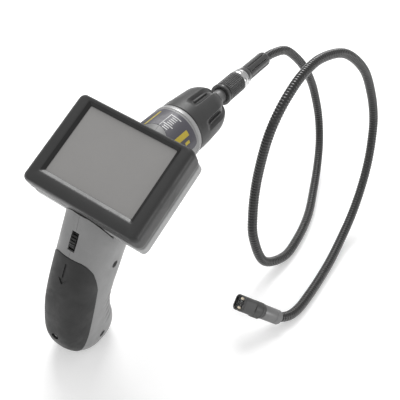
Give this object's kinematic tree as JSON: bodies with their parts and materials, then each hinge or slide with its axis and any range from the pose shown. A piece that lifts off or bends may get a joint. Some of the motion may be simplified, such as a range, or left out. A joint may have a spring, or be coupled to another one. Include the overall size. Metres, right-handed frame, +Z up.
{
  "type": "inspection camera",
  "caption": "Pistol-grip inspection camera with a slide-off monitor, a dimmer wheel, a sliding battery door and a shape-holding probe with a lit camera head.",
  "frame": {"origin": "middle of the flat foot of the grip, on the surface the tool stands on", "axes": "+Y forward along the barrel, +Z up, +X to the tool's right"},
  "size_m": [0.1762, 0.3502, 0.1772],
  "materials": {
    "shell": "satin moulded ABS, mid grey",
    "soft_touch": "soft-touch black",
    "bezel": "fine-textured charcoal plastic",
    "band": "satin mid grey plastic",
    "back_shell": "satin light grey plastic",
    "screen": "anti-glare clear cover",
    "lcd": "unlit display panel",
    "board": "green circuit board",
    "cell": "printed cell jacket",
    "spring_steel": "nickel plated",
    "screw_steel": "zinc plated screws",
    "contact": "gold plated contacts",
    "black_plastic": "black moulded plastic",
    "label": "printed film, dark grey with plain bars",
    "ring": "satin silver ring",
    "nose": "satin charcoal plastic",
    "seal": "black rubber",
    "nut": "knurled dark metal",
    "polished": "polished band",
    "sleeve": "fluted dark sleeve",
    "sheath": "glossy ribbed black sheath",
    "core": "wound steel core",
    "ferrule": "satin grey metal",
    "head": "dark anodised metal",
    "led": "warm white light-emitting diodes",
    "lens": "camera lens",
    "window": "sealed clear window",
    "button_red": "red button",
    "button_grey": "grey rubber button"
  },
  "bodies": {
    "handset": {"left_shell": "shell", "right_shell": "shell", "shell_screws": "screw_steel", "dock_rail": "black_plastic", "dock_contacts": "contact", "main_board": "board", "battery_tray": "black_plastic", "battery_cells": "cell", "battery_contacts": "spring_steel", "dimmer_potentiometer": "button_grey", "barrel_label": "label", "barrel_ring": "ring", "nose_seal": "seal", "nose_cap": "nose", "probe_socket": "ferrule"},
    "dimmer": {"dimmer_wheel": "black_plastic", "dimmer_shaft": "screw_steel"},
    "battery_door": {"battery_door": "soft_touch", "door_pad": "seal", "door_screw": "screw_steel"},
    "monitor": {"monitor_bezel": "bezel", "monitor_band": "band", "monitor_back": "back_shell", "monitor_screws": "screw_steel", "screen_window": "screen", "lcd_panel": "lcd", "monitor_board": "board", "monitor_battery": "cell", "monitor_contacts": "contact", "video_jack": "black_plastic"},
    "power_button": {"power_button": "button_red"},
    "up_button": {"up_button": "button_grey"},
    "down_button": {"down_button": "button_grey"},
    "coupling_nut": {"coupling_nut": "nut", "nut_ring": "polished"},
    "probe": {"plug_sleeve": "sleeve", "plug_pin": "contact", "gooseneck_sheath": "sheath", "gooseneck_core": "core", "head_ferrule": "ferrule", "head_barrel": "head", "head_board": "board", "head_lens": "lens", "head_leds": "led", "head_window": "window"},
    "head_collar": {"head_collar": "head"}
  },
  "joints": [
    {"name": "dimmer_turn", "type": "hinge", "parent": "handset", "child": "dimmer", "pos_m": [0, 0.00238, 0.11132], "axis": [1, 0, 0], "range_deg": [0, 270]},
    {"name": "battery_door_slide", "type": "slide", "parent": "handset", "child": "battery_door", "axis": [0, -0.1908, -0.9816], "range_m": [0, 0.012]},
    {"name": "monitor_slide", "type": "slide", "parent": "handset", "child": "monitor", "axis": [0, 0.8746, 0.4848], "range_m": [0, 0.06]},
    {"name": "power_button_press", "type": "slide", "parent": "monitor", "child": "power_button", "axis": [0, -0.8746, -0.4848], "range_m": [0, 0.0006], "stiffness_N_per_m": 900, "springref_m": -0.0004},
    {"name": "up_button_press", "type": "slide", "parent": "monitor", "child": "up_button", "axis": [0, -0.8746, -0.4848], "range_m": [0, 0.0006], "stiffness_N_per_m": 900, "springref_m": -0.0004},
    {"name": "down_button_press", "type": "slide", "parent": "monitor", "child": "down_button", "axis": [0, -0.8746, -0.4848], "range_m": [0, 0.0006], "stiffness_N_per_m": 900, "springref_m": -0.0004},
    {"name": "probe_pull", "type": "slide", "parent": "handset", "child": "probe", "axis": [0, 1, 0], "range_m": [0, 0.03]},
    {"name": "coupling_nut_turn", "type": "hinge", "parent": "probe", "child": "coupling_nut", "pos_m": [0, 0.175, 0.135], "axis": [0, 1, 0], "continuous": true},
    {"name": "head_collar_turn", "type": "hinge", "parent": "probe", "child": "head_collar", "pos_m": [0.10127, 0.09213, 0.02318], "axis": [-0.6014, -0.5707, 0.5592], "continuous": true}
  ]
}
